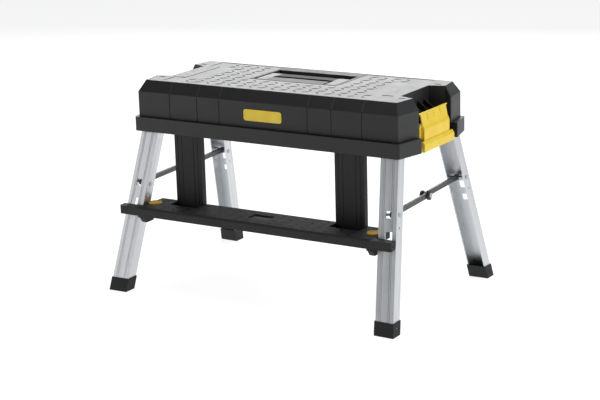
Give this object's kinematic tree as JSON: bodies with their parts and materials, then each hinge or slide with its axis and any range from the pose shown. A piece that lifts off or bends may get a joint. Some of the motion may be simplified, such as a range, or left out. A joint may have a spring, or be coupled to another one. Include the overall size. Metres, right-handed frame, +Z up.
{
  "type": "folding work platform bench",
  "caption": "Folding work platform bench: a lidded storage box with a treaded top and flush handle, on splayed folding channel legs with a lower step and spreader bars.",
  "frame": {"origin": "on the floor, midway between the four feet", "axes": "+Z up, +X along the length of the platform to its right-hand end, +Y to the back, away from the lower step"},
  "size_m": [0.73, 0.4886, 0.468],
  "materials": {
    "black_moulding": "fine spark-grain moulded black plastic",
    "tread_plastic": "moulded lozenge tread, sheened where feet rub",
    "step_tread_plastic": "moulded lozenge tread",
    "strut_plastic": "ribbed matt black plastic",
    "yellow_plastic": "satin yellow plastic",
    "aluminium": "extruded aluminium with fine draw lines",
    "black_rubber": "moulded black rubber",
    "spreader_steel": "dark grey coated steel",
    "zinc_steel": "zinc plated steel"
  },
  "bodies": {
    "box": {"base_tray": "black_moulding", "strut_pin_right": "zinc_steel", "strut_pin_left": "zinc_steel", "hinge_plate_outer_right": "zinc_steel", "hinge_plate_outer_left": "zinc_steel", "hinge_plate_inner_right": "zinc_steel", "hinge_plate_inner_left": "zinc_steel", "front_hinge_pin_right": "zinc_steel", "front_hinge_pin_left": "zinc_steel", "latch_pin_right": "zinc_steel", "latch_pin_left": "zinc_steel"},
    "lid": {"lid_shell": "black_moulding", "top_tread": "tread_plastic", "handle_panel": "tread_plastic", "handle_pins": "zinc_steel", "front_badge": "yellow_plastic"},
    "handle": {"carry_handle": "black_moulding"},
    "struts": {"strut_right": "strut_plastic", "strut_left": "strut_plastic"},
    "step": {"step_board": "black_moulding", "step_tread": "step_tread_plastic", "step_end_right": "black_moulding", "step_end_left": "black_moulding", "step_pin_right": "zinc_steel", "step_pin_left": "zinc_steel"},
    "front_leg_right": {"leg_front_right": "aluminium", "foot_front_right": "black_rubber", "spreader_rivet_front_right": "zinc_steel"},
    "rear_pin_right": {"rear_slide_pin_right": "zinc_steel"},
    "rear_leg_right": {"leg_rear_right": "aluminium", "foot_rear_right": "black_rubber", "spreader_rivet_rear_right": "zinc_steel"},
    "spreader_front_right": {"spreader_front_right": "spreader_steel", "spreader_knuckle_right": "black_moulding", "knuckle_bolt_right": "zinc_steel"},
    "spreader_rear_right": {"spreader_rear_right": "spreader_steel"},
    "latch_right": {"end_latch_right": "yellow_plastic"},
    "button_right": {"release_button_right": "yellow_plastic"},
    "bolt_right": {"lock_bolt_right": "zinc_steel"},
    "front_leg_left": {"leg_front_left": "aluminium", "foot_front_left": "black_rubber", "spreader_rivet_front_left": "zinc_steel"},
    "rear_pin_left": {"rear_slide_pin_left": "zinc_steel"},
    "rear_leg_left": {"leg_rear_left": "aluminium", "foot_rear_left": "black_rubber", "spreader_rivet_rear_left": "zinc_steel"},
    "spreader_front_left": {"spreader_front_left": "spreader_steel", "spreader_knuckle_left": "black_moulding", "knuckle_bolt_left": "zinc_steel"},
    "spreader_rear_left": {"spreader_rear_left": "spreader_steel"},
    "latch_left": {"end_latch_left": "yellow_plastic"},
    "button_left": {"release_button_left": "yellow_plastic"},
    "bolt_left": {"lock_bolt_left": "zinc_steel"}
  },
  "joints": [
    {"name": "legs_fold", "type": "hinge", "parent": "box", "child": "front_leg_right", "pos_m": [0.3054, -0.12009, 0.35785], "axis": [0.9948, 0, 0.1015], "range_deg": [0, 94.44]},
    {"name": "rear_pin_right_slide", "type": "slide", "parent": "box", "child": "rear_pin_right", "axis": [0, -1, 0], "range_m": [0, 0.24534]},
    {"name": "rear_leg_right_fold", "type": "hinge", "parent": "rear_pin_right", "child": "rear_leg_right", "pos_m": [0.30305, 0.11349, 0.38085], "axis": [0.9948, 0, 0.1015], "range_deg": [0, 64.08]},
    {"name": "spreader_front_right_fold", "type": "hinge", "parent": "front_leg_right", "child": "spreader_front_right", "pos_m": [0.31764, -0.15973, 0.23785], "axis": [0.9948, 0, 0.1015], "range_deg": [-100.49, 0]},
    {"name": "spreader_rear_right_fold", "type": "hinge", "parent": "rear_leg_right", "child": "spreader_rear_right", "pos_m": [0.31682, 0.15743, 0.24585], "axis": [0.9948, 0, 0.1015], "range_deg": [0, 97.59]},
    {"name": "front_leg_left_fold", "type": "hinge", "parent": "box", "child": "front_leg_left", "pos_m": [-0.3054, -0.12009, 0.35785], "axis": [0.9948, 0, -0.1015], "range_deg": [0, 94.44]},
    {"name": "rear_pin_left_slide", "type": "slide", "parent": "box", "child": "rear_pin_left", "axis": [0, -1, 0], "range_m": [0, 0.24534]},
    {"name": "rear_leg_left_fold", "type": "hinge", "parent": "rear_pin_left", "child": "rear_leg_left", "pos_m": [-0.30305, 0.11349, 0.38085], "axis": [0.9948, 0, -0.1015], "range_deg": [0, 64.08]},
    {"name": "spreader_front_left_fold", "type": "hinge", "parent": "front_leg_left", "child": "spreader_front_left", "pos_m": [-0.31764, -0.15973, 0.23785], "axis": [0.9948, 0, -0.1015], "range_deg": [-100.49, 0]},
    {"name": "spreader_rear_left_fold", "type": "hinge", "parent": "rear_leg_left", "child": "spreader_rear_left", "pos_m": [-0.31682, 0.15743, 0.24585], "axis": [0.9948, 0, -0.1015], "range_deg": [0, 97.59]},
    {"name": "struts_fold", "type": "hinge", "parent": "box", "child": "struts", "pos_m": [0, -0.129, 0.367], "axis": [1, 0, 0], "range_deg": [0, 60.02]},
    {"name": "step_level", "type": "hinge", "parent": "struts", "child": "step", "pos_m": [0, -0.129, 0.185], "axis": [1, 0, 0], "range_deg": [-60.02, 0]},
    {"name": "lid_lift", "type": "slide", "parent": "box", "child": "lid", "axis": [0, 0, 1], "range_m": [0, 0.12]},
    {"name": "handle_lift", "type": "hinge", "parent": "lid", "child": "handle", "pos_m": [0, -0.008, 0.4582], "axis": [1, 0, 0], "range_deg": [0, 92]},
    {"name": "latch_right_open", "type": "hinge", "parent": "box", "child": "latch_right", "pos_m": [0.343, 0, 0.361], "axis": [0, 1, 0], "range_deg": [0, 70]},
    {"name": "button_right_press", "type": "slide", "parent": "step", "child": "button_right", "axis": [0, 0, -1], "range_m": [0, 0.005], "stiffness_N_per_m": 400},
    {"name": "bolt_right_draw", "type": "slide", "parent": "step", "child": "bolt_right", "axis": [-1, 0, 0], "range_m": [0, 0.0051]},
    {"name": "latch_left_open", "type": "hinge", "parent": "box", "child": "latch_left", "pos_m": [-0.343, 0, 0.361], "axis": [0, -1, 0], "range_deg": [0, 70]},
    {"name": "button_left_press", "type": "slide", "parent": "step", "child": "button_left", "axis": [0, 0, -1], "range_m": [0, 0.005], "stiffness_N_per_m": 400},
    {"name": "bolt_left_draw", "type": "slide", "parent": "step", "child": "bolt_left", "axis": [1, 0, 0], "range_m": [0, 0.0051]}
  ],
  "couplings": [
    {"joint": "rear_pin_right_slide", "follows": "legs_fold", "m_per_rad": 0.14873},
    {"joint": "rear_leg_right_fold", "follows": "legs_fold", "ratio": 0.6784},
    {"joint": "spreader_front_right_fold", "follows": "legs_fold", "ratio": -1.0639},
    {"joint": "spreader_rear_right_fold", "follows": "legs_fold", "ratio": 1.0332},
    {"joint": "front_leg_left_fold", "follows": "legs_fold", "ratio": 1},
    {"joint": "rear_pin_left_slide", "follows": "legs_fold", "m_per_rad": 0.14873},
    {"joint": "rear_leg_left_fold", "follows": "legs_fold", "ratio": 0.6784},
    {"joint": "spreader_front_left_fold", "follows": "legs_fold", "ratio": -1.0639},
    {"joint": "spreader_rear_left_fold", "follows": "legs_fold", "ratio": 1.0332},
    {"joint": "struts_fold", "follows": "legs_fold", "ratio": 0.63536},
    {"joint": "step_level", "follows": "legs_fold", "ratio": -0.63536},
    {"joint": "bolt_right_draw", "follows": "button_right_press", "ratio": 1},
    {"joint": "bolt_left_draw", "follows": "button_left_press", "ratio": 1}
  ]
}
